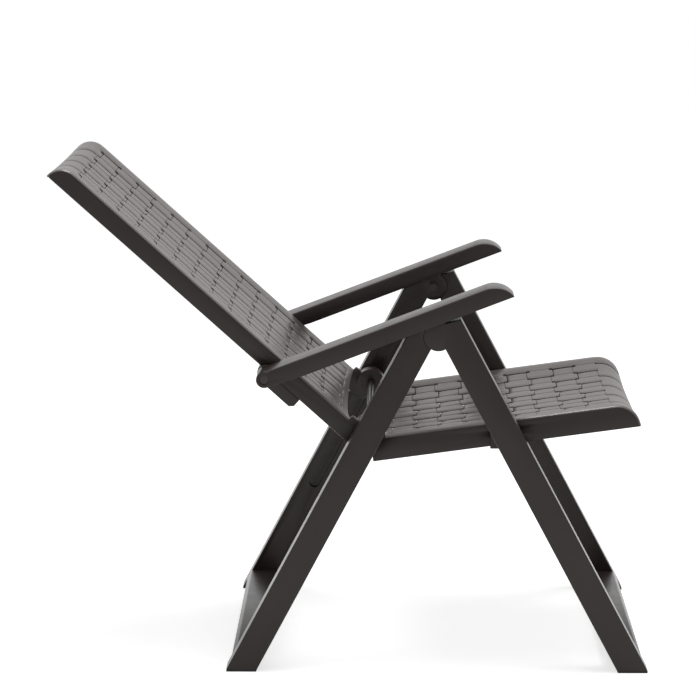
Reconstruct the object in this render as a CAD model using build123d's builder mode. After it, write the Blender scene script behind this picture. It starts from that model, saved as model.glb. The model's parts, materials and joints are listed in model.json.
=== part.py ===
from build123d import *
import math
import os

# Reclining garden armchair of moulded resin, folding.
# Z is up, the sitter faces -Y, and the symmetry plane is X = 0. Right means the sitter's right, at -X.
# Rest pose: legs open, backrest fully reclined, arm racks over the pegs at their last notch.

# A-frame
pivot_height = 555.0
leg_angle = 62.0
leg_width = 44.5
leg_fold_gap = 0.5
leg_outer_half = 300.0
leg_thickness = 44.0
lap_gap = 0.6
head_radius = 23.5
head_relief = 0.7
front_shoulder_rise = 27.0
rear_shoulder_rise = 20.0
shoulder_in = 12.0
leg_edge_round = 2.0
long_edge_least = 130.0

# Feet and bottom bars
pad_thickness = 4.0
bar_bottom = 13.0
bar_top = 35.0
bar_edge_round = 4.0
tenon_length = 12.0
tenon_inset = 5.0

# Pins of the A-frame and pegs under the armrests
hinge_pin_radius = 6.0
hinge_pin_cover = 4.0
hinge_pin_end_gap = 1.0
peg_y = 3.0
peg_rise = 32.0
peg_radius = 6.5
peg_lug_radius = 9.5
peg_neck_half = 7.0
peg_inset = 1.5
pin_running = 0.08

# Seat linkage: B is the seat's pivot on the front legs, C is the hinge rod in the rear legs' slots
seat_pivot_along = 198.0
seat_pivot_out = 18.0
rod_along = 198.0
rod_out = 21.0
rod_travel = 217.5
rod_radius = 5.0
slider_radius = 8.6
slot_play = 1.0
slot_depth = 12.5
slider_gap = 1.0
slider_side_gap = 0.4
pivot_pin_radius = 5.0
spacer_behind = 23.0
spacer_ahead = 17.0
spacer_below = 25.0
spacer_above = 13.0
spacer_gap = 0.4
spacer_round = 5.0

# Seat, its half width the legs' inner one less a side room
seat_side_room = 16.0
seat_half_width = leg_outer_half - leg_thickness - seat_side_room
seat_pivot_drop = 31.3
seat_drop = 12.3
seat_depth = 39.5
seat_length = 440.9
seat_panel_tail = 8.0
seat_dish = 13.0
panel_thickness = 3.5
rail_thickness = 15.5
ear_thickness = 18.0
ear_radius = 24.0
ear_relief = 1.5
ear_gap = 0.5
ear_reach = 120.0
ear_slope_reach = 34.0
ear_drop = 3.4

# Backrest
back_angle = 42.0
back_front = 7.2
back_depth = 31.5
back_length = 665.5
back_dish = 9.0
back_panel_start = 36.0
back_tail = 10.0
recline_angle = 34.0
cross_rail_width = 24.0
cross_rail_depth = 13.0
seat_front_rail_inset = 95.9
seat_rear_rail_at = 60.0
back_lower_rail_at = 75.0
back_upper_rail_inset = 75.5

# Woven pattern of the panels: brick-laid cells parted by narrow slots
cell_length = 41.0
pattern_side_room = 4.5
slot_width = 2.4
slot_share = 0.93
line_count = 10
seat_pattern_start = 32.5
back_pattern_start = 51.5
curl_slot_angle = 62.0
curl_flats = 8

# Armrests
arm_overhang = 6.5
arm_outer_half = leg_outer_half + arm_overhang
arm_inner_room = 3.5
arm_width = arm_outer_half - seat_half_width - arm_inner_room
arm_wall = 4.0
arm_top = 11.0
arm_plate = 3.5
arm_bottom = 16.0
arm_length = 423.0
arm_nose = 38.0
arm_boss_radius = 13.0
arm_boss_reach = 17.0
arm_edge_chamfer = 1.6
arm_bolt_head_gap = 0.4
arm_drop_reach = 60.0
arm_pivot_along = 188.6
arm_pivot_out = 42.0
arm_bolt_radius = 4.0
arm_bolt_head_radius = 7.0
arm_bolt_head = 4.0
arm_bolt_recess = 2.0
arm_washer_gap = 0.25
peg_below_line = 3.5
rack_gap = 0.35
rack_notch = 3.0
rack_notch_radius = 8.5
rack_width = 17.0
rack_inset = 2.5
rack_overrun = 14.0
notch_count = 5

# Brackets carrying the armrest bolts
bracket_start = 118.0
bracket_out = 58.0
bracket_radius = 14.0
bracket_corner = 6.0
bracket_thickness = 28.0
bracket_tongue_front = 16.0

# Derived layout, first relative to the A-frame's pivot
leg_inner_half = leg_outer_half - leg_thickness
lap_half = leg_outer_half - leg_thickness / 2


def turned(angle, along, out):
    """Offset in Y, Z of a point at along and out in a frame turned by angle degrees."""
    a = math.radians(angle)
    return (along * math.cos(a) + out * math.sin(a), along * math.sin(a) - out * math.cos(a))


front_direction = 180.0 + leg_angle
foot_reach = (pivot_height - pad_thickness) / math.tan(math.radians(leg_angle)) + (
    leg_width + leg_fold_gap) / math.sin(math.radians(leg_angle))
rod_offset = turned(front_direction, rod_along, rod_out)
back_tip = turned(back_angle, back_length, back_front + back_depth)
back_reach = back_tip[0] - rod_offset[0]
pivot_y = (foot_reach - back_reach) / 2
pivot = (pivot_y, pivot_height)


def at(origin, offset):
    return (origin[0] + offset[0], origin[1] + offset[1])


def leg_point(side, along, out):
    """Point on a leg, along from the pivot towards the foot and out from the line through the pivot.
    side is +1 for the rear legs and -1 for the front legs."""
    y, z = turned(front_direction, along, out)
    return (pivot_y - side * y, pivot_height + z)


REAR, FRONT = 1, -1
seat_pivot = leg_point(FRONT, seat_pivot_along, seat_pivot_out)
rod = leg_point(REAR, rod_along, rod_out)
peg = (pivot_y + peg_y, pivot_height + peg_rise)
seat_reach = math.dist(seat_pivot, rod)
seat_direction = math.degrees(math.atan2(seat_pivot[1] - rod[1], seat_pivot[0] - rod[0])
                              - math.asin(seat_pivot_drop / seat_reach))
arm_pivot = at(rod, turned(back_angle, arm_pivot_along, arm_pivot_out))


def side_plane(origin, x, angle):
    """Plane across X at x, its own x axis turned by angle from +Y. Solids grow from it towards -X."""
    direction = turned(angle, 1, 0)
    return Plane(origin=(x, origin[0], origin[1]), x_dir=(0, direction[0], direction[1]), z_dir=(-1, 0, 0))


def far_x(hand, inner, outer):
    """The larger X of a span between two half widths, hand +1 for the left and -1 for the right."""
    return outer if hand > 0 else -inner


def arm_angle_at(pivot_point):
    """Direction of an armrest whose rack line passes just over the peg."""
    dy, dz = peg[0] - pivot_point[0], peg[1] - pivot_point[1]
    reach = math.hypot(dy, dz)
    return math.degrees(math.atan2(dz, dy)) - math.degrees(math.asin(peg_below_line / reach))


arm_angle = arm_angle_at(arm_pivot)
notch_reaches = []
for step in range(notch_count):
    turn = recline_angle * step / (notch_count - 1)
    stepped = at(rod, turned(back_angle + turn, arm_pivot_along, arm_pivot_out))
    notch_reaches.append(math.sqrt(math.dist(stepped, peg) ** 2 - peg_below_line ** 2))


# Legs

def leg_outline(side):
    """Band of one leg with its sloping shoulder, foot cut level."""
    inner, outer = leg_fold_gap, leg_fold_gap + leg_width
    slope = math.radians(leg_angle)
    drop = pivot_height - pad_thickness

    def foot_along(out):
        return (drop + out * math.cos(slope)) / math.sin(slope)

    shoulder_along = along_at_shoulder(side, outer)
    relief = head_radius + head_relief
    notch_height = math.sqrt(relief ** 2 - shoulder_in ** 2)
    return [
        leg_point(side, 0, inner),
        leg_point(side, foot_along(inner), inner),
        leg_point(side, foot_along(outer), outer),
        leg_point(side, shoulder_along, outer),
        (pivot_y + side * shoulder_in, pivot_height + notch_height),
    ]


def along_at_shoulder(side, outer):
    """Distance along the leg at which its outer edge reaches the shoulder's height."""
    slope = math.radians(leg_angle)
    rise = rear_shoulder_rise if side == REAR else front_shoulder_rise
    return (outer * math.cos(slope) - rise) / math.sin(slope)


def make_leg(side, hand, label):
    own_inner, own_outer = (leg_inner_half, lap_half - lap_gap / 2) if side == REAR else (
        lap_half + lap_gap / 2, leg_outer_half)
    other_inner, other_outer = (lap_half - lap_gap / 2, leg_outer_half) if side == REAR else (
        leg_inner_half, lap_half + lap_gap / 2)
    with BuildPart() as leg:
        # band through the full thickness
        with BuildSketch(Plane.YZ.offset(min(hand * leg_inner_half, hand * leg_outer_half))):
            with BuildLine():
                Polyline(*leg_outline(side), close=True)
            make_face()
        extrude(amount=leg_thickness)
        long_edges = leg.edges().filter_by(Axis.X, reverse=True).filter_by(GeomType.LINE)
        chamfer_edges = [e for e in long_edges if e.length > long_edge_least]
        fillet(chamfer_edges, radius=leg_edge_round)
        # room for the other leg's head
        with BuildSketch(Plane.YZ.offset(min(hand * other_inner, hand * other_outer))):
            with Locations(pivot):
                Circle(head_radius + head_relief)
        extrude(amount=other_outer - other_inner, mode=Mode.SUBTRACT)
        # own head
        with BuildSketch(Plane.YZ.offset(min(hand * own_inner, hand * own_outer))):
            with Locations(pivot):
                Circle(head_radius)
            if side == REAR:
                with BuildLine():
                    lean = math.atan2(peg_rise, peg_y)
                    ay, az = peg_neck_half * math.sin(lean), peg_neck_half * math.cos(lean)
                    Polyline((pivot[0] - ay, pivot[1] + az), (peg[0] - ay, peg[1] + az),
                             (peg[0] + ay, peg[1] - az), (pivot[0] + ay, pivot[1] - az), close=True)
                make_face()
                with Locations(peg):
                    Circle(peg_lug_radius)
        extrude(amount=own_outer - own_inner)
        # bores
        if side == REAR:
            with BuildSketch(Plane.YZ.offset(min(hand * own_inner, hand * own_outer))):
                with Locations(pivot):
                    Circle(hinge_pin_radius)
            extrude(amount=own_outer - own_inner, mode=Mode.SUBTRACT)
            # peg for the armrest's rack
            peg_outer = leg_outer_half - peg_inset
            with BuildSketch(Plane.YZ.offset(min(hand * own_outer, hand * peg_outer))):
                with Locations(peg):
                    Circle(peg_radius)
            extrude(amount=peg_outer - own_outer)
            # slot for the hinge rod's slider, open to the inner face
            slot_outer = leg_inner_half + slot_depth
            middle = leg_point(side, rod_along + rod_travel / 2, rod_out)
            with BuildSketch(side_plane(middle, far_x(hand, leg_inner_half, slot_outer), -leg_angle)):
                SlotCenterToCenter(rod_travel, 2 * (slider_radius + slot_play))
            extrude(amount=slot_depth, mode=Mode.SUBTRACT)
        else:
            bore_outer = leg_outer_half - hinge_pin_cover
            with BuildSketch(Plane.YZ.offset(min(hand * own_inner, hand * bore_outer))):
                with Locations(pivot):
                    Circle(hinge_pin_radius + pin_running)
            extrude(amount=bore_outer - own_inner, mode=Mode.SUBTRACT)
        # socket for the bottom bar's tenon
        tenon_outer = leg_inner_half + tenon_length
        with BuildSketch(Plane.YZ.offset(min(hand * leg_inner_half, hand * tenon_outer))):
            with BuildLine():
                Polyline(*bar_outline(side, tenon_inset), close=True)
            make_face()
        extrude(amount=tenon_length, mode=Mode.SUBTRACT)
    leg.part.label = label
    export_step(leg.part, "parts/" + label + ".step")
    return leg.part


def bar_outline(side, inset):
    """Section of a bottom bar, following the legs' slope."""
    slope = math.radians(leg_angle)
    inner, outer = leg_fold_gap + inset, leg_fold_gap + leg_width - inset

    def at_height(out, height):
        return leg_point(side, (pivot_height - height + out * math.cos(slope)) / math.sin(slope), out)

    return [at_height(inner, bar_bottom + inset), at_height(outer, bar_bottom + inset),
            at_height(outer, bar_top - inset), at_height(inner, bar_top - inset)]


def make_bar(side, label):
    with BuildPart() as bar:
        with BuildSketch(Plane.YZ.offset(-leg_inner_half)):
            with BuildLine():
                Polyline(*bar_outline(side, 0), close=True)
            make_face()
        extrude(amount=2 * leg_inner_half)
        fillet(bar.edges().filter_by(Axis.X), radius=bar_edge_round)
        with BuildSketch(Plane.YZ.offset(-leg_inner_half - tenon_length)):
            with BuildLine():
                Polyline(*bar_outline(side, tenon_inset), close=True)
            make_face()
        extrude(amount=2 * (leg_inner_half + tenon_length))
    bar.part.label = label
    export_step(bar.part, "parts/" + label + ".step")
    return bar.part


def make_pad(side, hand, label):
    """Foot pad: a sole under the leg's level foot, its inner side in line with the leg's."""
    slope = math.radians(leg_angle)

    def foot_y(out, height):
        along = (pivot_height - height + out * math.cos(slope)) / math.sin(slope)
        return leg_point(side, along, out)[0]

    low_toe, toe = foot_y(leg_fold_gap, 0), foot_y(leg_fold_gap, pad_thickness)
    heel = foot_y(leg_fold_gap + leg_width, pad_thickness)
    with BuildPart() as pad:
        with BuildSketch(Plane.YZ.offset(min(hand * leg_inner_half, hand * leg_outer_half))):
            with BuildLine():
                Polyline((low_toe, 0), (toe, pad_thickness), (heel, pad_thickness), (heel, 0), close=True)
            make_face()
        extrude(amount=leg_thickness)
    pad.part.label = label
    export_step(pad.part, "parts/" + label + ".step")
    return pad.part


# Seat and backrest panels

def dish_at(x, dish):
    """Depth of a sheet's hollow at x: flat over the side rails, deepest in the middle."""
    return dish * max(0, 1 - (abs(x) / (seat_half_width - rail_thickness)) ** 3)


half_cell_width = (seat_half_width - rail_thickness - pattern_side_room) / (line_count / 2)


def rows_between(first, last):
    """Whole rows of cells that fit a sheet's straight run."""
    return round((last - first) / cell_length)


def pattern_centres(first, rows):
    """Centres of the slots, every other row shifted by half a cell."""
    lines = [half_cell_width * (k - (line_count - 1) / 2) for k in range(line_count)]
    centres = []
    for row in range(rows):
        for k, x in enumerate(lines):
            if (row + k) % 2 == 0:
                centres.append((first + cell_length * (row + 0.5), x))
    return centres


def curl_points(bend, end, side, radius):
    """Quarter circle about bend, end in equal flats, from straight to side round to +x."""
    turns = [math.radians(90) * flat / curl_flats for flat in range(curl_flats + 1)]
    return [(bend + radius * math.sin(turn), end + side * radius * math.cos(turn)) for turn in turns]


def sheet_profile(start, length, face, depth):
    """Side view of a sheet. It runs straight from start, then curls over to a flat end at length.
    A positive depth curls towards +out of its frame, a negative one towards -out."""
    inward = math.copysign(1, depth)
    bend, end = length - abs(depth), face + depth
    outer = curl_points(bend, end, -inward, abs(depth))
    inner = curl_points(bend, end, -inward, abs(depth) - panel_thickness)
    Polyline((start, face), *outer, *inner[::-1], (start, face + inward * panel_thickness), close=True)


def make_panel(angle, start, length, face, depth, dish, first, rows, ear_room, label):
    """A dished sheet with a woven look, in a frame about the hinge rod.
    ear_room is the radius cleared round the hinge rod at both side edges."""
    plane = side_plane(rod, 0, angle)
    inward = math.copysign(1, depth)
    lines = [half_cell_width * (k - (line_count - 1) / 2) for k in range(line_count)]
    rail_inner = seat_half_width - rail_thickness
    between = [half_cell_width * (k - line_count / 2) for k in range(1, line_count)]
    stations = [-seat_half_width, -rail_inner] + between + [rail_inner, seat_half_width]
    cut = dish + 2 * panel_thickness
    bend, end = length - abs(depth), face + depth
    with BuildPart() as panel:
        # strips between the creases, each a skew extrusion of the side view that follows the dish
        for near, far in zip(stations, stations[1:]):
            origin = plane.from_local_coords(Vector(0, inward * dish_at(near, dish), -near))
            with BuildSketch(Plane(origin=origin, x_dir=plane.x_dir, z_dir=plane.z_dir)):
                with BuildLine():
                    sheet_profile(start, length, face, depth)
                make_face()
            sink = inward * (dish_at(far, dish) - dish_at(near, dish))
            step = Vector(far - near, 0, 0) + plane.y_dir * sink
            extrude(amount=step.length, dir=step)
        # curled end cut off level
        with BuildSketch(plane):
            with BuildLine():
                Polyline((bend, end), (bend, end + inward * cut), (length + cut, end + inward * cut),
                         (length + cut, end), close=True)
            make_face()
        extrude(amount=seat_half_width, both=True, mode=Mode.SUBTRACT)
        # slots along the straight run
        top_plane = Plane(origin=plane.from_local_coords(Vector(0, face, 0)), x_dir=plane.x_dir,
                          z_dir=plane.y_dir * -inward)
        with BuildSketch(top_plane):
            with Locations(*pattern_centres(first, rows)):
                Rectangle(cell_length * slot_share, slot_width)
        extrude(amount=-cut, mode=Mode.SUBTRACT)
        # slots over the curl
        begin = first + cell_length * rows + cell_length * (1 - slot_share) / 2
        turn, big = math.radians(curl_slot_angle), 2 * abs(depth)
        for k, x in enumerate(lines):
            if (rows + k) % 2 == 0:
                with BuildSketch(plane.offset(-x - slot_width / 2)):
                    with BuildLine():
                        Polyline((begin, face - inward * panel_thickness),
                                 (bend + big * math.tan(turn / 2), face - inward * panel_thickness),
                                 (bend + big * math.sin(turn), end - inward * big * math.cos(turn)),
                                 (bend, end), (begin, face + inward * cut), close=True)
                    make_face()
                extrude(amount=slot_width, mode=Mode.SUBTRACT)
        if ear_room > 0:
            edge = rail_thickness + ear_gap
            for hand in (1, -1):
                with BuildSketch(side_plane(rod, far_x(hand, seat_half_width - edge, seat_half_width), angle)):
                    Circle(ear_room)
                extrude(amount=edge, mode=Mode.SUBTRACT)
                with BuildSketch(side_plane(rod, far_x(hand, rail_inner - ear_thickness, rail_inner), angle)):
                    Circle(ear_radius)
                    with BuildLine():
                        Polyline((2 * start, face), (ear_slope_reach, face), (ear_slope_reach, face - cut),
                                 (2 * start, face - cut), close=True)
                    make_face()
                extrude(amount=ear_thickness, mode=Mode.SUBTRACT)
    panel.part.label = label
    export_step(panel.part, "parts/" + label + ".step")
    return panel.part


seat_face = -seat_drop
seat_straight_end = seat_length - seat_depth
back_straight_end = back_length - back_depth
seat_rows = rows_between(seat_pattern_start, seat_straight_end)
back_rows = rows_between(back_pattern_start, back_straight_end)
seat_front_rail_at = seat_length - seat_front_rail_inset
back_upper_rail_at = back_length - back_upper_rail_inset
back_middle_rail_at = (back_lower_rail_at + back_upper_rail_at) / 2


def make_seat_side(hand, label):
    """Side rail of the seat: deep outer plate under the panel, inner ear round the hinge rod."""
    outer, inner = seat_half_width, seat_half_width - rail_thickness
    top, bottom = seat_face - panel_thickness, seat_face - seat_depth
    radius = seat_depth - panel_thickness
    ear_outer = inner
    ear_inner = inner - ear_thickness
    ear_top = top - ear_drop
    with BuildPart() as side:
        with BuildSketch(side_plane(rod, far_x(hand, inner, outer), seat_direction)):
            with BuildLine():
                Polyline((0, bottom), (0, top), *curl_points(seat_straight_end, bottom, 1, radius), close=True)
            make_face()
        extrude(amount=rail_thickness)
        with BuildSketch(side_plane(rod, far_x(hand, inner - ear_gap, outer), seat_direction)):
            Circle(ear_radius + ear_relief)
        extrude(amount=rail_thickness + ear_gap, mode=Mode.SUBTRACT)
        with BuildSketch(side_plane(rod, far_x(hand, ear_inner, ear_outer - ear_gap), seat_direction)):
            Circle(ear_radius)
        extrude(amount=ear_thickness - ear_gap)
        with BuildSketch(side_plane(rod, far_x(hand, ear_inner, ear_outer - ear_gap), seat_direction)):
            with BuildLine():
                Polyline((0, 0), (ear_slope_reach, ear_top), (ear_reach, ear_top), (ear_reach, bottom),
                         (0, bottom), close=True)
            make_face()
        extrude(amount=ear_thickness - ear_gap)
        with BuildSketch(side_plane(rod, far_x(hand, ear_inner, ear_outer), seat_direction)):
            with BuildLine():
                Polyline((ear_slope_reach, ear_top), (ear_reach, ear_top), (ear_reach, bottom),
                         (ear_slope_reach, bottom), close=True)
            make_face()
        extrude(amount=ear_thickness)
        with BuildSketch(side_plane(rod, far_x(hand, ear_inner, ear_outer), seat_direction)):
            Circle(rod_radius + pin_running)
        extrude(amount=ear_thickness, mode=Mode.SUBTRACT)
        with BuildSketch(side_plane(seat_pivot, far_x(hand, inner, outer), seat_direction)):
            Circle(pivot_pin_radius + pin_running)
        extrude(amount=rail_thickness, mode=Mode.SUBTRACT)
    side.part.label = label
    export_step(side.part, "parts/" + label + ".step")
    return side.part


def make_back_side(hand, label):
    """Side rail of the backrest, with an ear round the hinge rod and a seat for the bracket."""
    outer, inner = seat_half_width, seat_half_width - rail_thickness
    front, rear = back_front + panel_thickness, back_front + back_depth
    radius = back_depth - panel_thickness
    with BuildPart() as side:
        with BuildSketch(side_plane(rod, far_x(hand, inner, outer), back_angle)):
            with BuildLine():
                Polyline((-back_tail, rear), (-ear_radius, 0), (0, 0), (back_panel_start, 0),
                         (back_panel_start, front), *curl_points(back_straight_end, rear, -1, radius), close=True)
            make_face()
            Circle(ear_radius)
        extrude(amount=rail_thickness)
        with BuildSketch(side_plane(rod, far_x(hand, inner, outer), back_angle)):
            Circle(rod_radius + pin_running)
        extrude(amount=rail_thickness, mode=Mode.SUBTRACT)
        with BuildSketch(side_plane(rod, far_x(hand, inner, outer), back_angle)):
            with Locations((arm_pivot_along, arm_pivot_out)):
                Circle(bracket_radius)
        extrude(amount=rail_thickness, mode=Mode.SUBTRACT)
    side.part.label = label
    export_step(side.part, "parts/" + label + ".step")
    return side.part


def make_bracket(hand, label):
    """Bracket behind a back rail: a block for the armrest bolt and a tongue against the rail's inner face."""
    outer, inner = seat_half_width, seat_half_width - bracket_thickness
    rear = back_front + back_depth
    tongue_outer = seat_half_width - rail_thickness
    end = arm_pivot_along
    with BuildPart() as bracket:
        with BuildSketch(side_plane(rod, far_x(hand, inner, outer), back_angle)):
            with BuildLine():
                Polyline((bracket_start, rear), (bracket_start, bracket_out - bracket_corner),
                         (bracket_start + bracket_corner, bracket_out),
                         (end - bracket_radius, bracket_out), (end, arm_pivot_out + bracket_radius),
                         (end, rear), close=True)
            make_face()
            with Locations((arm_pivot_along, arm_pivot_out)):
                Circle(bracket_radius)
        extrude(amount=bracket_thickness)
        with BuildSketch(side_plane(rod, far_x(hand, inner, tongue_outer), back_angle)):
            with BuildLine():
                Polyline((bracket_start, bracket_tongue_front), (bracket_start, rear),
                         (end, rear), (end, bracket_tongue_front), close=True)
            make_face()
        extrude(amount=bracket_thickness - rail_thickness)
        with BuildSketch(side_plane(arm_pivot, far_x(hand, inner, outer), back_angle)):
            Circle(arm_bolt_radius + pin_running)
        extrude(amount=bracket_thickness, mode=Mode.SUBTRACT)
    bracket.part.label = label
    export_step(bracket.part, "parts/" + label + ".step")
    return bracket.part


def make_rail(origin, angle, middle, near_face, far_face, half, label):
    """Cross rail between the side rails, its top against the middle of the dished sheet."""
    with BuildPart() as rail:
        with BuildSketch(side_plane(origin, half, angle)):
            with BuildLine():
                Polyline((middle - cross_rail_width / 2, near_face), (middle + cross_rail_width / 2, near_face),
                         (middle + cross_rail_width / 2, far_face), (middle - cross_rail_width / 2, far_face),
                         close=True)
            make_face()
        extrude(amount=2 * half)
    rail.part.label = label
    export_step(rail.part, "parts/" + label + ".step")
    return rail.part


# Armrests

def make_arm(hand, label):
    inner_half = arm_outer_half - arm_width
    nose_height = arm_top + arm_bottom
    nose_radius = (arm_nose ** 2 + nose_height ** 2) / (2 * nose_height)
    with BuildPart() as arm:
        with BuildSketch(side_plane(arm_pivot, far_x(hand, inner_half, arm_outer_half), arm_angle)):
            with BuildLine():
                Line((0, arm_top), (arm_length - arm_nose, arm_top))
                RadiusArc((arm_length - arm_nose, arm_top), (arm_length, -arm_bottom), nose_radius)
                Line((arm_length, -arm_bottom), (arm_drop_reach, -arm_bottom))
                Line((arm_drop_reach, -arm_bottom), (0, -arm_boss_radius))
                Line((0, -arm_boss_radius), (0, arm_top))
            make_face()
            Circle(arm_boss_radius)
        extrude(amount=arm_width)
        upward = Axis(origin=(0, *arm_pivot), direction=side_plane(arm_pivot, 0, arm_angle).y_dir)
        top_face = arm.faces().filter_by(GeomType.PLANE).sort_by(upward)[-1]
        chamfer(top_face.edges().filter_by(Axis.X, reverse=True), length=arm_edge_chamfer)
        channel = arm_width - 2 * arm_wall
        with BuildSketch(side_plane(arm_pivot, far_x(hand, inner_half + arm_wall, arm_outer_half - arm_wall),
                                    arm_angle)):
            with BuildLine():
                under = arm_top - arm_plate
                end = arm_length - arm_nose
                Line((arm_boss_reach, under), (end, under))
                Line((end, under), (end + arm_nose - arm_wall, -arm_bottom))
                Line((end + arm_nose - arm_wall, -arm_bottom), (end + arm_nose - arm_wall, -2 * arm_bottom))
                Line((end + arm_nose - arm_wall, -2 * arm_bottom), (arm_boss_reach, -2 * arm_bottom))
                Line((arm_boss_reach, -2 * arm_bottom), (arm_boss_reach, under))
            make_face()
        extrude(amount=channel, mode=Mode.SUBTRACT)
        with BuildSketch(side_plane(arm_pivot, far_x(hand, inner_half, arm_outer_half), arm_angle)):
            Circle(arm_bolt_radius + pin_running)
        extrude(amount=arm_width, mode=Mode.SUBTRACT)
        recess = arm_bolt_head + arm_bolt_recess + arm_washer_gap
        with BuildSketch(side_plane(arm_pivot, far_x(hand, arm_outer_half - recess, arm_outer_half), arm_angle)):
            Circle(arm_bolt_head_radius + arm_bolt_head_gap)
        extrude(amount=recess, mode=Mode.SUBTRACT)
    arm.part.label = label
    export_step(arm.part, "parts/" + label + ".step")
    return arm.part


def make_rack(hand, label):
    """Notched strip under the armrest's top plate, over the outer half of the peg."""
    crest = -peg_below_line + peg_radius + rack_gap
    under = arm_top - arm_plate
    outer = leg_outer_half - rack_inset
    start, end = notch_reaches[-1] - rack_overrun, notch_reaches[0] + rack_overrun
    with BuildPart() as rack:
        with BuildSketch(side_plane(arm_pivot, far_x(hand, outer - rack_width, outer), arm_angle)):
            with BuildLine():
                Polyline((start, crest), (start, under), (end, under), (end, crest), close=True)
            make_face()
            with Locations(*[(reach, crest + rack_notch - rack_notch_radius) for reach in notch_reaches]):
                Circle(rack_notch_radius, mode=Mode.SUBTRACT)
        extrude(amount=rack_width)
    rack.part.label = label
    export_step(rack.part, "parts/" + label + ".step")
    return rack.part


# Pins, bolts and small round pieces

def make_round(stations, origin, hands, label, bore=0):
    """Stack of coaxial discs along X: each station is inner half width, outer half width and radius.
    hands lists the sides of the chair that get one."""
    with BuildPart() as piece:
        for hand in hands:
            for inner, outer, radius in stations:
                with BuildSketch(side_plane(origin, far_x(hand, inner, outer), 0)):
                    Circle(radius)
                    if bore > 0:
                        Circle(bore, mode=Mode.SUBTRACT)
                extrude(amount=outer - inner)
    piece.part.label = label
    export_step(piece.part, "parts/" + label + ".step")
    return piece.part


def make_spacer(hand, label):
    """Block between a front leg and the seat's rail, with the stud that the seat turns on."""
    inner = seat_half_width + spacer_gap
    with BuildPart() as spacer:
        with BuildSketch(Plane.YZ.offset(min(hand * inner, hand * leg_inner_half))):
            with BuildLine():
                Polyline((seat_pivot[0] + spacer_behind, seat_pivot[1] - spacer_below),
                         (seat_pivot[0] + spacer_behind, seat_pivot[1] + spacer_above),
                         (seat_pivot[0] - spacer_ahead, seat_pivot[1] + spacer_above),
                         (seat_pivot[0] - spacer_ahead, seat_pivot[1] - spacer_below), close=True)
            make_face()
        extrude(amount=leg_inner_half - inner)
        fillet(spacer.edges().filter_by(Axis.X).sort_by(Axis.Z)[0:1], radius=spacer_round)
        rail_inner = seat_half_width - rail_thickness
        with BuildSketch(Plane.YZ.offset(min(hand * rail_inner, hand * inner))):
            with Locations(seat_pivot):
                Circle(pivot_pin_radius)
        extrude(amount=inner - rail_inner)
    spacer.part.label = label
    export_step(spacer.part, "parts/" + label + ".step")
    return spacer.part


os.makedirs("parts", exist_ok=True)

for hand, name in ((1, "left"), (-1, "right")):
    make_leg(REAR, hand, "rear_leg_" + name)
    make_leg(FRONT, hand, "front_leg_" + name)
    make_pad(REAR, hand, "rear_foot_pad_" + name)
    make_pad(FRONT, hand, "front_foot_pad_" + name)
    make_spacer(hand, "seat_spacer_" + name)
    make_seat_side(hand, "seat_rail_" + name)
    make_back_side(hand, "back_rail_" + name)
    make_bracket(hand, "back_bracket_" + name)
    make_arm(hand, "armrest_" + name)
    make_rack(hand, "arm_rack_" + name)
    head_inner = arm_outer_half - arm_bolt_recess - arm_bolt_head
    make_round([(head_inner, head_inner + arm_bolt_head, arm_bolt_head_radius),
                (seat_half_width - bracket_thickness, head_inner, arm_bolt_radius)],
               arm_pivot, [hand], "arm_bolt_" + name)

both = [1, -1]
make_round([(leg_inner_half, leg_outer_half - hinge_pin_cover - hinge_pin_end_gap, hinge_pin_radius)],
           pivot, both, "frame_hinge_pins")
slider_outer = leg_inner_half + slot_depth - slider_gap
make_round([(seat_half_width + slider_side_gap, slider_outer, slider_radius)], rod, both, "slot_sliders",
           bore=rod_radius)
make_bar(REAR, "rear_bottom_bar")
make_bar(FRONT, "front_bottom_bar")
make_panel(seat_direction, -seat_panel_tail, seat_length, seat_face, -seat_depth, seat_dish,
           seat_pattern_start, seat_rows, ear_radius + ear_relief, "seat_panel")
make_panel(back_angle, back_panel_start, back_length, back_front, back_depth, back_dish,
           back_pattern_start, back_rows, 0, "back_panel")
seat_under = seat_face - seat_dish - panel_thickness
rails_half = seat_half_width - rail_thickness
make_rail(rod, seat_direction, seat_front_rail_at, seat_under, seat_under - cross_rail_depth,
          rails_half, "seat_front_rail")
make_rail(rod, seat_direction, seat_rear_rail_at, seat_under, seat_under - cross_rail_depth,
          rails_half - ear_thickness, "seat_rear_rail")
back_under = back_front + back_dish + panel_thickness
make_rail(rod, back_angle, back_lower_rail_at, back_under, back_under + cross_rail_depth,
          rails_half, "back_lower_rail")
make_rail(rod, back_angle, back_middle_rail_at, back_under, back_under + cross_rail_depth,
          rails_half, "back_middle_rail")
make_rail(rod, back_angle, back_upper_rail_at, back_under, back_under + cross_rail_depth,
          rails_half, "back_upper_rail")

with BuildPart() as hinge_rod:
    with BuildSketch(side_plane(rod, slider_outer, 0)):
        Circle(rod_radius)
    extrude(amount=2 * slider_outer)
hinge_rod.part.label = "hinge_rod"
export_step(hinge_rod.part, "parts/hinge_rod.step")
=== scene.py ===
import json
import math

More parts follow.
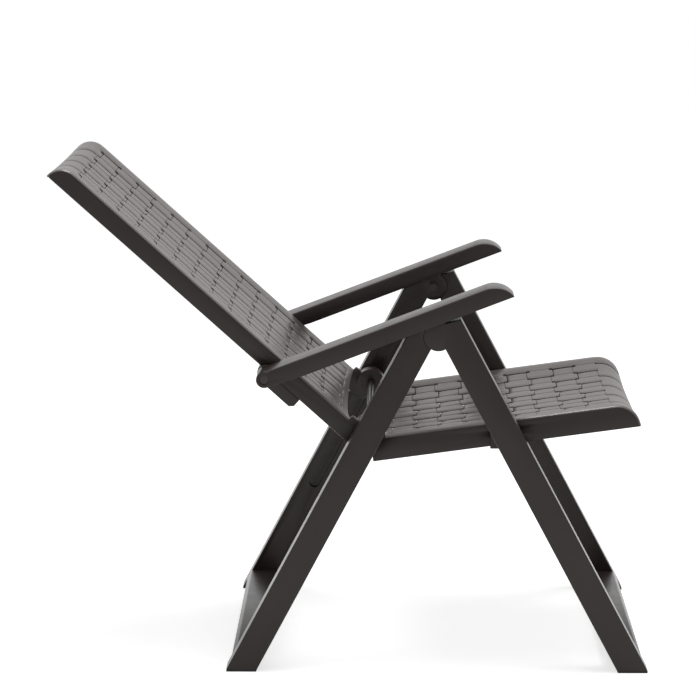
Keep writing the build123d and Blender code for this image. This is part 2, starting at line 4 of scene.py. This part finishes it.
import bmesh
import bpy
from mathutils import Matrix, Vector

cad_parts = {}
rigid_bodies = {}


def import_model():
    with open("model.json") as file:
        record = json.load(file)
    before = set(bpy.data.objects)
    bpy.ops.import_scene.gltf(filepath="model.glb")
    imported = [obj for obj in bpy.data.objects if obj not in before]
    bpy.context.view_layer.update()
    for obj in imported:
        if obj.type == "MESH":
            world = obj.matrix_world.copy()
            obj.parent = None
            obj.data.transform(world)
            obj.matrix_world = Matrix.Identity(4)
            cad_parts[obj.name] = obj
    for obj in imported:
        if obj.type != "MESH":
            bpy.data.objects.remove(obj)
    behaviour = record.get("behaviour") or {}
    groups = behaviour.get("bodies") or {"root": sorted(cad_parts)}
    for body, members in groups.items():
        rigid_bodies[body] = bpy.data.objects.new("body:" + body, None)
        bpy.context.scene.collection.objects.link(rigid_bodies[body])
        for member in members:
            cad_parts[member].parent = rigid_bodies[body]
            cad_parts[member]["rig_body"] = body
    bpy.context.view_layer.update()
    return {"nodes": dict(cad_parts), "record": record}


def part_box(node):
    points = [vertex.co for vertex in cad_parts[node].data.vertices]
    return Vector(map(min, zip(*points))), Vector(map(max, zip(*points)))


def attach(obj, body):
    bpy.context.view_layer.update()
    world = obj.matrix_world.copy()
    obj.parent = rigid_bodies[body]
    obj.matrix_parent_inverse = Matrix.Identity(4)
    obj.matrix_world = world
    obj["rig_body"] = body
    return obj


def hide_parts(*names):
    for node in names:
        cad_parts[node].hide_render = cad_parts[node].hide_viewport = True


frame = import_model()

# Reclining garden armchair of dark moulded resin. Metres, in the frame of the part.

# Hinge rod and side rails, from which both sheets are measured
rod_low, rod_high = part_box("hinge_rod")
ROD = (rod_low + rod_high) / 2
HALF_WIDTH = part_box("seat_panel")[1].x
RAIL_THICKNESS = 0.0155
RAIL_INSIDE = HALF_WIDTH - RAIL_THICKNESS
SEAT_ANGLE = math.radians(172.2)
BACK_ANGLE = math.radians(42)

# Slots, which stand in staggered rows on lines along the sheets
SHEET_THICKNESS = 0.0035
CELL_LENGTH = 0.041
HALF_CELL = 0.044
LINE_COUNT = 10
LINE_MIDDLE = (LINE_COUNT - 1) / 2
SLOT_LINES = [HALF_CELL * (k - LINE_MIDDLE) for k in range(LINE_COUNT)]
SLOT_HALF = 0.0028
SLOT_OVERLAP = 0.0030
SLOT_ROUND = 0.0003
HOLE_HALF = 0.0052
HOLE_LENGTH = 0.0062

# Relief of the weave
EDGE_DIP = 0.0017
EDGE_DIP_REACH = 0.012
EDGE_DIP_POWER = 1.5
LINE_DIP = 0.0006
LINE_DIP_HALF = SLOT_HALF + 0.001
JOINT_HALF = 0.0009
DEEP_JOINT = 0.0018
FAINT_JOINT = 0.0009
JOINT_STEP = 0.0010
JOINT_RAMP = 0.011
RIM_CHAMFER = 0.0019

# Curl at a sheet's far end
CURL_TURN = math.radians(90)
CURL_SLOT_END = math.radians(68)
CURL_ROWS = 16
CURL_INSET = 0.0003

# Mesh lines of the sheets
SHOULDER = 0.016
RAIL_MARGIN = 0.004
DISH_START = 0.006
BEND_GAP = 0.0004
SAME_PLACE = 0.0002
HAIR = 1e-6

# Rounded edges of the moulded pieces
EDGE_SEGMENTS = 2
MERGE_DISTANCE = 0.00001
FLAT_ANGLE = math.radians(0.6)
SHARP_ANGLE = math.radians(34)
SMOOTH_ANGLE = math.radians(30)
SHEET_SHARP_ANGLE = math.radians(50)
SHEET_SMOOTH_ANGLE = math.radians(32)
SPACER_GAP = 0.0002


# Shader helpers

def node_of(tree, kind, **inputs):
    node = tree.nodes.new(kind)
    for name, value in inputs.items():
        node.inputs[name.replace("_", " ")].default_value = value
    return node


def new_material(name):
    material = bpy.data.materials.new(name)
    material.use_nodes = True
    tree = material.node_tree
    return material, tree, tree.nodes["Principled BSDF"]


def object_coordinates(tree, angle=0.0, stretch=(1, 1, 1)):
    """Object coordinates turned about X so that Y runs along a sheet, and stretched for grain."""
    where = tree.nodes.new("ShaderNodeTexCoord")
    turn = tree.nodes.new("ShaderNodeMapping")
    turn.vector_type = "POINT"
    turn.inputs["Rotation"].default_value = (-angle, 0, 0)
    tree.links.new(where.outputs["Object"], turn.inputs["Vector"])
    scale = tree.nodes.new("ShaderNodeMapping")
    scale.inputs["Scale"].default_value = stretch
    tree.links.new(turn.outputs["Vector"], scale.inputs["Vector"])
    return scale.outputs["Vector"]


def noise(tree, vector, scale, detail=4.0, roughness=0.55):
    texture = node_of(tree, "ShaderNodeTexNoise", Scale=scale, Detail=detail, Roughness=roughness)
    tree.links.new(vector, texture.inputs["Vector"])
    return texture.outputs["Fac"]


def tone(tree, factor, low, high, start=0.3, end=0.7):
    ramp = tree.nodes.new("ShaderNodeValToRGB")
    ramp.color_ramp.elements[0].position = start
    ramp.color_ramp.elements[0].color = (*low, 1)
    ramp.color_ramp.elements[1].position = end
    ramp.color_ramp.elements[1].color = (*high, 1)
    tree.links.new(factor, ramp.inputs["Fac"])
    return ramp.outputs["Color"]


def spread(tree, factor, low, high):
    span = node_of(tree, "ShaderNodeMapRange", To_Min=low, To_Max=high)
    tree.links.new(factor, span.inputs["Value"])
    return span.outputs["Result"]


def bump(tree, height, strength, distance, normal=None):
    relief = node_of(tree, "ShaderNodeBump", Strength=strength, Distance=distance)
    tree.links.new(height, relief.inputs["Height"])
    if normal is not None:
        tree.links.new(normal, relief.inputs["Normal"])
    return relief.outputs["Normal"]


def multiplied(tree, colour, shade, strength):
    mix = node_of(tree, "ShaderNodeMix")
    mix.data_type = "RGBA"
    mix.blend_type = "MULTIPLY"
    mix.inputs[0].default_value = strength
    tree.links.new(colour, mix.inputs[6])
    tree.links.new(shade, mix.inputs[7])
    return mix.outputs[2]


# Materials

def resin(name, low, high, rough, specular=0.5):
    """Moulded resin with a fine pebbled skin and a slow drift of its colour."""
    material, tree, shader = new_material(name)
    shader.inputs["Specular IOR Level"].default_value = specular
    plain = object_coordinates(tree)
    skin = noise(tree, plain, 1400.0, 2.0)
    tree.links.new(tone(tree, noise(tree, plain, 9.0, 3.0), low, high), shader.inputs["Base Color"])
    tree.links.new(spread(tree, noise(tree, plain, 60.0, 4.0), *rough), shader.inputs["Roughness"])
    tree.links.new(bump(tree, skin, 0.12, 0.0002), shader.inputs["Normal"])
    return material


def grained_resin(name, low, high, rough, angle):
    """Resin of a sheet at the given angle, with fine grain drawn along it."""
    material, tree, shader = new_material(name)
    plain = object_coordinates(tree)
    grain = noise(tree, object_coordinates(tree, angle, (1.0, 0.035, 1.0)), 170.0, 6.0, 0.7)
    colour = tone(tree, noise(tree, plain, 9.0, 3.0), low, high)
    streaks = tone(tree, grain, (0.55, 0.55, 0.55), (1.25, 1.25, 1.25), 0.32, 0.68)
    tree.links.new(multiplied(tree, colour, streaks, 0.9), shader.inputs["Base Color"])
    tree.links.new(spread(tree, grain, *rough), shader.inputs["Roughness"])
    skin = bump(tree, noise(tree, plain, 1400.0, 2.0), 0.12, 0.0002)
    tree.links.new(bump(tree, grain, 0.3, 0.0006, skin), shader.inputs["Normal"])
    return material


def metal(name, colour, rough):
    """Bar metal with fine lines turned round it."""
    material, tree, shader = new_material(name)
    shader.inputs["Metallic"].default_value = 1.0
    lines = noise(tree, object_coordinates(tree, 0.0, (40.0, 1.0, 1.0)), 60.0, 4.0)
    shaded = tuple(c * 0.85 for c in colour)
    tree.links.new(tone(tree, lines, shaded, colour), shader.inputs["Base Color"])
    tree.links.new(spread(tree, lines, rough - 0.08, rough + 0.1), shader.inputs["Roughness"])
    tree.links.new(bump(tree, lines, 0.1, 0.0001), shader.inputs["Normal"])
    return material


def rubber(name, low, high):
    """Dull rubber with a speckled skin."""
    material, tree, shader = new_material(name)
    speckle = noise(tree, object_coordinates(tree), 900.0, 3.0)
    tree.links.new(tone(tree, speckle, low, high), shader.inputs["Base Color"])
    tree.links.new(spread(tree, speckle, 0.75, 0.95), shader.inputs["Roughness"])
    tree.links.new(bump(tree, speckle, 0.3, 0.0002), shader.inputs["Normal"])
    return material


# Pieces that stand for CAD nodes

def shade_smooth(bm, limit):
    """Smooth shading, with an edge kept sharp where its faces meet at more than the limit."""
    for face in bm.faces:
        face.smooth = True
    for edge in bm.edges:
        edge.smooth = len(edge.link_faces) == 2 and edge.calc_face_angle(0) < limit


def finished(bm, name, node, materials):
    mesh = bpy.data.meshes.new(name)
    bm.to_mesh(mesh)
    bm.free()
    for material in materials:
        mesh.materials.append(material)
    piece = bpy.data.objects.new(name, mesh)
    bpy.context.scene.collection.objects.link(piece)
    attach(piece, frame["nodes"][node]["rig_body"])
    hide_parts(node)
    return piece


def softened(node, width, material):
    """A copy of a CAD node with its sharp edges rounded."""
    bm = bmesh.new()
    bm.from_mesh(frame["nodes"][node].data)
    bmesh.ops.remove_doubles(bm, verts=bm.verts, dist=MERGE_DISTANCE)
    bmesh.ops.dissolve_limit(bm, angle_limit=FLAT_ANGLE, verts=bm.verts, edges=bm.edges)
    sharp = [e for e in bm.edges if len(e.link_faces) == 2 and e.calc_face_angle(0) > SHARP_ANGLE]
    bmesh.ops.bevel(bm, geom=sharp, offset=width, offset_type="OFFSET", affect="EDGES",
                    segments=EDGE_SEGMENTS, profile=0.5, clamp_overlap=True, material=-1)
    bmesh.ops.triangulate(bm, faces=[f for f in bm.faces if len(f.verts) > 4])
    shade_smooth(bm, SMOOTH_ANGLE)
    return finished(bm, node + "_moulded", node, [material])


def drawn_in(piece, reach):
    """Keeps a piece a hair inside the given half width, clear of the leg that folds past it."""
    for vert in piece.data.vertices:
        if abs(vert.co.x) > reach:
            vert.co.x = math.copysign(reach, vert.co.x)


# Woven-look sheets

def column_stations():
    """Places across a sheet of its mesh lines: close together at the slots."""
    columns = []
    for line in SLOT_LINES:
        for off in (SLOT_HALF, (SLOT_HALF + HOLE_HALF) / 2, HOLE_HALF, EDGE_DIP_REACH, SHOULDER):
            columns += [line - off, line + off]
        columns.append(line + HALF_CELL / 2)
    columns = [x for x in columns if abs(x) < RAIL_INSIDE - RAIL_MARGIN]
    for x in (HALF_WIDTH, HALF_WIDTH - RIM_CHAMFER, HALF_WIDTH - RAIL_THICKNESS / 2, RAIL_INSIDE,
              RAIL_INSIDE - DISH_START):
        columns += [-x, x]
    return sorted(columns)


def edge_dip(near):
    """How far a slot's rounded edge lies under the skin at a place this near the slot's line."""
    return EDGE_DIP * max(0.0, 1 - near / EDGE_DIP_REACH) ** EDGE_DIP_POWER


class WovenSheet:
    """Slotted sheet seen from the sitter's side, dished across and curled over at its far end.

    It runs from the rod at its angle, between start and length. Its skin lies at face beside the rod's
    middle, and its curl is as deep as depth. The rows of slots begin at first. Hand is +1 where a joint
    steps from a slot's start towards -X, and -1 the other way.
    """

    def __init__(self, angle, start, length, face, depth, dish, first, rows, hand):
        self.along = Vector((0, math.cos(angle), math.sin(angle)))
        self.out = Vector((0, math.sin(angle), -math.cos(angle)))
        self.inward = math.copysign(1, depth)
        self.face, self.dish, self.hand = face, dish, hand
        self.first, self.rows = first, rows
        self.bend = length - abs(depth)
        self.radius = abs(depth) - CURL_INSET
        self.columns = column_stations()
        self.straight = self.row_stations(start)

    def row_stations(self, start):
        """Places along the sheet of its mesh lines, as far as the bend: close together at the joints."""
        joint = [SLOT_OVERLAP - JOINT_HALF, SLOT_OVERLAP, SLOT_OVERLAP + JOINT_HALF]
        offsets = [-off for off in reversed(joint)] + [-HOLE_LENGTH / 4, HOLE_LENGTH / 4] + joint
        offsets += [JOINT_RAMP, CELL_LENGTH / 2]
        stations = [start, (start + self.first) / 2]
        for row in range(self.rows + 1):
            begin = self.first + CELL_LENGTH * row
            stations += [begin + off for off in offsets if begin + off < self.bend - BEND_GAP]
        return stations

    def slot_at(self, k, s):
        """Ends and row of the slot on line k that covers the place s, or None."""
        nearby = max(0, math.floor((s - self.first) / CELL_LENGTH) - 1)
        for row in range(nearby, self.rows + 1):
            low = self.first + CELL_LENGTH * row - SLOT_OVERLAP
            high = self.first + CELL_LENGTH * (row + 1) + SLOT_OVERLAP
            if (row + k) % 2 == 0 and low - HAIR <= s <= high + HAIR:
                return low, high, row
        return None

    def is_cut(self, i, j):
        """Whether the grid's cell from column i and row line j lies in a slot."""
        x = (self.columns[i] + self.columns[i + 1]) / 2
        k = round(x / HALF_CELL + LINE_MIDDLE)
        if not 0 <= k < LINE_COUNT or abs(x - SLOT_LINES[k]) > HOLE_HALF:
            return False
        narrow = abs(x - SLOT_LINES[k]) < SLOT_HALF
        if j >= len(self.straight) - 1:
            turn = CURL_TURN * (j - len(self.straight)) / (CURL_ROWS - 1)
            return (self.rows + k) % 2 == 0 and narrow and turn < CURL_SLOT_END
        s = (self.straight[j] + self.straight[j + 1]) / 2
        slot = self.slot_at(k, s)
        if slot is None:
            return False
        low, high, row = slot
        at_end = s < low + HOLE_LENGTH or (row < self.rows and s > high - HOLE_LENGTH)
        return narrow or at_end

    def slot_relief(self, x, s):
        """Depth of the rounded slot edges, and of the faint lines between the slots of a line."""
        depth = 0.0
        for k, line in enumerate(SLOT_LINES):
            near = abs(x - line)
            if near < EDGE_DIP_REACH and self.slot_at(k, s):
                depth = max(depth, edge_dip(near))
            elif near < LINE_DIP_HALF and s > self.first:
                depth = max(depth, LINE_DIP)
        return depth

    def joint_relief(self, x, s):
        """Depth of the joints between cells, which are deep and stepped on every second one."""
        nearest = round((s - self.first) / CELL_LENGTH)
        segment = math.floor(x / HALF_CELL + LINE_MIDDLE + HAIR)
        if not (0 <= nearest <= self.rows and 0 <= segment < LINE_COUNT - 1):
            return 0.0
        starting = (nearest + segment) % 2 == 0
        offset = s - self.first - CELL_LENGTH * nearest - (-SLOT_OVERLAP if starting else SLOT_OVERLAP)
        deep = starting != (self.hand > 0)
        depth = 0.0
        if abs(offset) < JOINT_HALF / 2:
            depth += DEEP_JOINT if deep else FAINT_JOINT
        if deep and 0 <= offset < JOINT_RAMP:
            depth += JOINT_STEP * (1 - offset / JOINT_RAMP)
        return depth

    def place_of(self, i, j, under):
        """Where the mesh point of column i and row line j lies, on the skin or on the plain underside."""
        x = self.columns[i]
        hollow = self.dish * max(0.0, 1 - (abs(x) / RAIL_INSIDE) ** 3)
        rim = RIM_CHAMFER if abs(x) > HALF_WIDTH - SAME_PLACE / 2 else 0.0
        if j < len(self.straight):
            s = self.straight[j]
            relief = self.slot_relief(x, s) + self.joint_relief(x, s) + rim
            below = hollow + (SHEET_THICKNESS if under else relief)
        else:
            turn = math.acos(hollow / self.radius) * (j - len(self.straight)) / (CURL_ROWS - 1)
            near = min(abs(x - line) for k, line in enumerate(SLOT_LINES) if (self.rows + k) % 2 == 0)
            dip = rim + (edge_dip(near) if turn < CURL_SLOT_END else 0.0)
            reach = self.radius - (SHEET_THICKNESS if under else dip)
            s = self.bend + reach * math.sin(turn)
            below = CURL_INSET + hollow + self.radius - reach * math.cos(turn)
        return Vector((x, ROD.y, ROD.z)) + self.along * s + self.out * (self.face + self.inward * below)


def cut_skin(bm, sheet):
    """Grid of the sheet's skin, with its slots cut away. Returns the layers of column and row numbers."""
    count_across = len(sheet.columns)
    count_along = len(sheet.straight) + CURL_ROWS
    column_of = bm.verts.layers.int.new("column")
    row_of = bm.verts.layers.int.new("row")
    bmesh.ops.create_grid(bm, x_segments=count_across - 1, y_segments=count_along - 1, size=0.5)
    for vert in bm.verts:
        vert[column_of] = round((vert.co.x + 0.5) * (count_across - 1))
        vert[row_of] = round((vert.co.y + 0.5) * (count_along - 1))
    cut = []
    for face in bm.faces:
        if sheet.is_cut(min(v[column_of] for v in face.verts), min(v[row_of] for v in face.verts)):
            cut.append(face)
    for vert in bm.verts:
        vert.co = sheet.place_of(vert[column_of], vert[row_of], False)
    bmesh.ops.delete(bm, geom=cut, context="FACES")
    bmesh.ops.recalc_face_normals(bm, faces=bm.faces)
    middle = min(bm.faces, key=lambda f: abs(f.calc_center_median().x))
    if middle.normal.dot(sheet.out) * sheet.inward > 0:
        bmesh.ops.reverse_faces(bm, faces=bm.faces)
    return column_of, row_of


def woven_sheet(name, node, sheet, material):
    """The sheet's skin with its thickness, a plain underside, rounded slots and a glossier rim, painted
    paler as a highlight.
    """
    bm = bmesh.new()
    column_of, row_of = cut_skin(bm, sheet)
    bmesh.ops.solidify(bm, geom=bm.faces[:], thickness=SHEET_THICKNESS)
    for vert in bm.verts:
        i, j = vert[column_of], vert[row_of]
        if (vert.co - sheet.place_of(i, j, False)).length > SHEET_THICKNESS / 4:
            vert.co = sheet.place_of(i, j, True)
    bmesh.ops.recalc_face_normals(bm, faces=bm.faces)
    bm.normal_update()
    sharp = [e for e in bm.edges if len(e.link_faces) == 2 and e.calc_face_angle(0) > SHEET_SHARP_ANGLE]
    inner = [e for e in sharp if not all(abs(abs(v.co.x) - HALF_WIDTH) < SAME_PLACE for v in e.verts)]
    bmesh.ops.bevel(bm, geom=inner, offset=SLOT_ROUND, offset_type="OFFSET", affect="EDGES", segments=1,
                    profile=0.5, clamp_overlap=True, material=-1)
    # The rim's chamfer faces take the paler resin: a painted highlight along the sheet's edge.
    for face in bm.faces:
        at_rim = all(abs(v.co.x) > HALF_WIDTH - RIM_CHAMFER - SAME_PLACE for v in face.verts)
        if at_rim and 0.3 < abs(face.normal.x) < 0.95:
            face.material_index = 1
    shade_smooth(bm, SHEET_SMOOTH_ANGLE)
    return finished(bm, name, node, [material, painted_highlight_rim])


# Finishes
frame_resin = resin("frame_resin", (0.0145, 0.0096, 0.0080), (0.0210, 0.0142, 0.0118), (0.24, 0.38), 0.3)
# The rim resin is paler than the sheets' resin, which is a painted highlight, and it is glossier too.
painted_highlight_rim = resin("painted_highlight_rim", (0.130, 0.117, 0.112), (0.160, 0.143, 0.137), (0.16, 0.24), 0.6)
# The sheets are the same resin as the frame, but their tones are lighter. That lightness is painted sheen,
# laid under the real grain and drift of colour.
sheet_tones_with_painted_sheen = (0.050, 0.040, 0.037), (0.074, 0.060, 0.056)
seat_resin = grained_resin("seat_resin", *sheet_tones_with_painted_sheen, (0.26, 0.46), SEAT_ANGLE)
back_resin = grained_resin("back_resin", *sheet_tones_with_painted_sheen, (0.26, 0.46), BACK_ANGLE)
steel = metal("blackened_steel", (0.050, 0.046, 0.045), 0.34)
sole_rubber = rubber("sole_rubber", (0.012, 0.012, 0.012), (0.022, 0.021, 0.020))

# Sheets
seat = WovenSheet(SEAT_ANGLE, start=0.0255, length=0.4409, face=-0.0123, depth=-0.0395, dish=0.013,
                  first=0.0325, rows=9, hand=1)
back = WovenSheet(BACK_ANGLE, start=0.036, length=0.6655, face=0.0072, depth=0.0315, dish=0.009,
                  first=0.0515, rows=14, hand=-1)
woven_sheet("seat_sheet", "seat_panel", seat, seat_resin)
woven_sheet("back_sheet", "back_panel", back, back_resin)

# Moulded pieces, with the width of their rounded edges
paired_pieces = {"rear_leg": 0.0011, "front_leg": 0.0011, "armrest": 0.0011, "seat_rail": 0.0016,
                 "back_rail": 0.0026, "back_bracket": 0.0015, "seat_spacer": 0.0012, "arm_rack": 0.0004}
for side in ("left", "right"):
    for stem, width in paired_pieces.items():
        softened(f"{stem}_{side}", width, frame_resin)
    drawn_in(bpy.data.objects[f"seat_spacer_{side}_moulded"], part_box("seat_spacer_left")[1].x - SPACER_GAP)
for node in ("rear_bottom_bar", "front_bottom_bar", "seat_front_rail", "seat_rear_rail", "back_lower_rail",
             "back_middle_rail", "back_upper_rail"):
    softened(node, 0.0012, frame_resin)

# Finishes of the CAD nodes, of which the pins, bolts, sliders, rod and foot pads are shown as they are
finishes = {"resin_dark": frame_resin, "resin_weave": seat_resin, "steel": steel, "pad_rubber": sole_rubber}
slot_of = {row["node"]: row["material_slot"] for row in frame["record"]["subparts"]}
for node, piece in frame["nodes"].items():
    piece.data.materials.clear()
    piece.data.materials.append(finishes[slot_of[node]])


# Studio

def seen_directly(tree):
    """1 for what the camera or a reflection sees, and 0 for light on its way to the chair."""
    path = tree.nodes.new("ShaderNodeLightPath")
    seen = tree.nodes.new("ShaderNodeMath")
    seen.operation = "ADD"
    seen.use_clamp = True
    tree.links.new(path.outputs["Is Camera Ray"], seen.inputs[0])
    tree.links.new(path.outputs["Is Glossy Ray"], seen.inputs[1])
    return seen.outputs[0]


def pale_floor():
    """White to the camera, with the object's shadow kept as a soft grey."""
    material, tree, shader = new_material("pale_floor")
    shader.inputs["Base Color"].default_value = (0.80, 0.80, 0.80, 1)
    shader.inputs["Roughness"].default_value = 0.9
    shader.inputs["Specular IOR Level"].default_value = 0.0
    shader.inputs["Emission Color"].default_value = (1, 1, 1, 1)
    glow = spread(tree, seen_directly(tree), 0.0, 0.66)
    tree.links.new(glow, shader.inputs["Emission Strength"])
    return material


def floor(size):
    mesh = bpy.data.meshes.new("floor")
    bm = bmesh.new()
    bmesh.ops.create_grid(bm, x_segments=1, y_segments=1, size=size)
    bm.to_mesh(mesh)
    bm.free()
    mesh.materials.append(pale_floor())
    piece = bpy.data.objects.new("floor", mesh)
    bpy.context.scene.collection.objects.link(piece)


def pale_world(light):
    """White where it is seen, and of the given level as light on the chair."""
    world = bpy.data.worlds.new("studio")
    bpy.context.scene.world = world
    world.use_nodes = True
    tree = world.node_tree
    background = tree.nodes["Background"]
    background.inputs["Color"].default_value = (1, 1, 1, 1)
    tree.links.new(spread(tree, seen_directly(tree), light, 1.0), background.inputs["Strength"])


def softbox(name, place, target, size, power):
    lamp = bpy.data.lights.new(name, "AREA")
    lamp.shape = "SQUARE"
    lamp.size = size
    lamp.energy = power
    piece = bpy.data.objects.new(name, lamp)
    piece.location = place
    piece.rotation_euler = (Vector(target) - Vector(place)).to_track_quat("-Z", "Y").to_euler()
    bpy.context.scene.collection.objects.link(piece)


def view_camera(place, pitch, yaw, focal_pixels, width_pixels):
    camera = bpy.data.cameras.new("view")
    camera.sensor_width = 36
    camera.lens = focal_pixels / width_pixels * camera.sensor_width
    camera.clip_end = 100
    viewer = bpy.data.objects.new("view", camera)
    viewer.location = place
    level = math.cos(pitch)
    facing = Vector((level * math.cos(yaw), level * math.sin(yaw), math.sin(pitch)))
    viewer.rotation_euler = facing.to_track_quat("-Z", "Y").to_euler()
    bpy.context.scene.collection.objects.link(viewer)
    bpy.context.scene.camera = viewer


floor(30)
pale_world(0.45)
softbox("overhead", (0.2, -0.3, 3.4), (0, 0, 0.3), 2.0, 80)
view_camera((-4.9655, -0.0685, 1.3144), math.radians(-9.463), math.radians(0.852), 2950, 696)
bpy.context.scene.view_settings.view_transform = "Standard"
